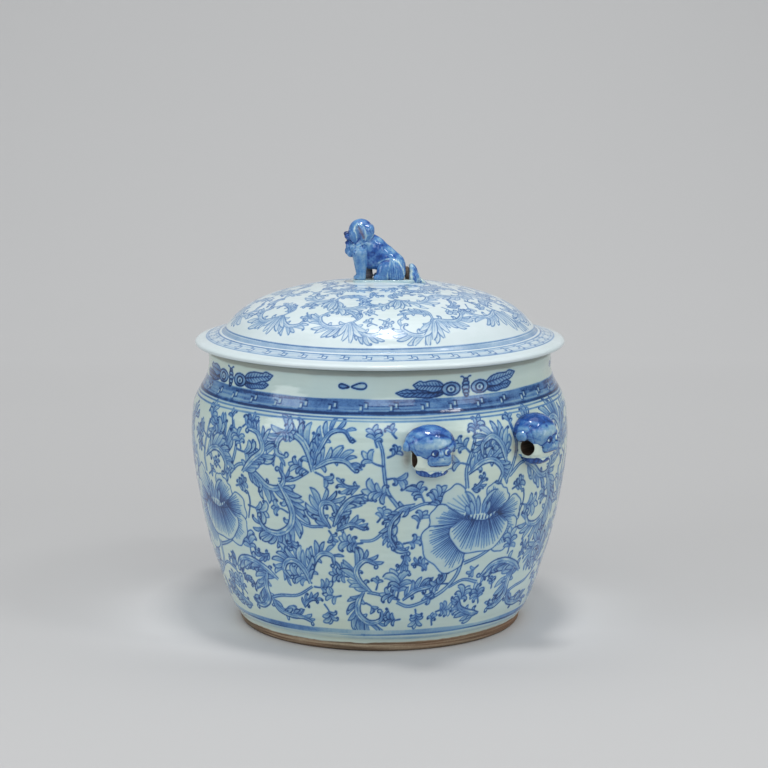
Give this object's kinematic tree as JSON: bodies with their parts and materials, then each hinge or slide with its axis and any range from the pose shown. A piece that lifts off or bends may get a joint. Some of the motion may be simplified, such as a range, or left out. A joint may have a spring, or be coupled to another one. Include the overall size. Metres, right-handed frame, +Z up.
{
  "type": "covered rice bowl",
  "caption": "Covered porcelain rice bowl: full-bellied pot with pierced lion-mask lugs and a lift-off domed lid with a seated lion-dog finial.",
  "frame": {"origin": "centre of the foot ring's underside, on the pot's axis", "axes": "+Z up along the pot's axis; -Y is the display side, with the front lug 14 degrees round from it towards +X; the finial faces -X"},
  "size_m": [0.23, 0.2538, 0.246],
  "materials": {
    "pot_glaze": "pale celadon-tinted clear glaze over underglaze blue painting, unglazed brown foot band",
    "lid_glaze": "pale celadon-tinted clear glaze over underglaze blue painting",
    "cobalt_glaze": "clear glaze over cobalt blue washes, white at the raised edges",
    "biscuit": "unglazed fired body"
  },
  "bodies": {
    "pot": {"bowl": "pot_glaze", "lion_mask_lug_front": "cobalt_glaze", "lion_mask_lug_right": "cobalt_glaze", "lion_mask_lug_back": "cobalt_glaze", "lion_mask_lug_left": "cobalt_glaze"},
    "cover": {"lid": "lid_glaze", "lid_locating_ring": "biscuit", "finial_plinth": "lid_glaze", "finial_lion": "cobalt_glaze", "finial_tail": "cobalt_glaze"}
  },
  "joints": [
    {"name": "lid_lift", "type": "slide", "parent": "pot", "child": "cover", "axis": [0, 0, 1], "range_m": [0, 0.1]}
  ]
}
